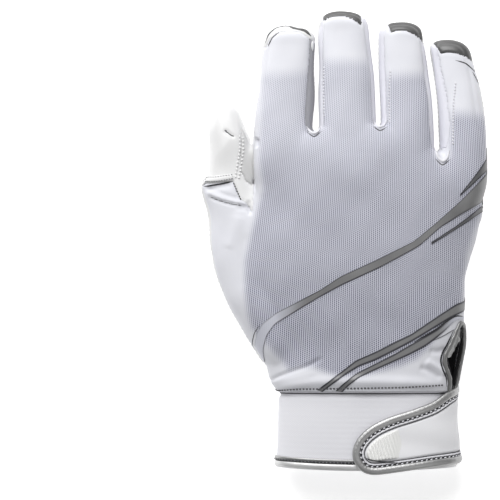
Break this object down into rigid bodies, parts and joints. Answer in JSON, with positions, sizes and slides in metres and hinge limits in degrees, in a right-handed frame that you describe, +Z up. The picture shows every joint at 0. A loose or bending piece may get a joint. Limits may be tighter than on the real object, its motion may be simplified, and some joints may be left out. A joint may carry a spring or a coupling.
{
  "type": "football receiver glove",
  "caption": "Right-hand receiver glove lying palm down: knit back, glossy grip palm, elastic cuff with a wrist strap, side vent and plain silver bands.",
  "frame": {"origin": "on the surface that the palm rests on, under the middle of the glove's bounding box", "axes": "+Y from the cuff to the fingertips, +Z up out of the back of the hand, +X from the thumb's side to the little finger's side"},
  "size_m": [0.1434, 0.2312, 0.0354],
  "materials": {
    "knit": "knitted mesh, matte",
    "leather": "smooth, glossy and grippy",
    "side_fabric": "plain stretch cloth, matte",
    "elastic": "woven elastic with fine ribs, matte",
    "silver_trim": "metallic woven binding",
    "silver_leather": "metallic, satin",
    "silver_film": "thin metallic film, satin",
    "pull_patch": "moulded, satin",
    "label": "woven ribbon, plain"
  },
  "bodies": {
    "root": {"back_panel": "knit", "palm_panel": "leather", "thumb_end": "leather", "thumb_web": "leather", "cuff_seam": "side_fabric", "cuff_band": "elastic", "hem_binding": "silver_trim", "strap": "side_fabric", "strap_binding": "silver_trim", "strap_patch": "pull_patch", "vent_binding": "silver_trim", "vent_tongue": "silver_leather", "label": "label", "side_wall_index_middle": "side_fabric", "side_wall_middle_ring": "side_fabric", "side_wall_ring_little": "side_fabric", "fingertip_index": "leather", "fingertip_middle": "silver_leather", "fingertip_ring": "silver_leather", "fingertip_little": "silver_leather", "stripe_upper": "silver_film", "stripe_upper_edge": "silver_film", "stripe_upper_foot": "silver_film", "stripe_lower": "silver_film", "stripe_lower_foot": "silver_film"}
  },
  "joints": []
}
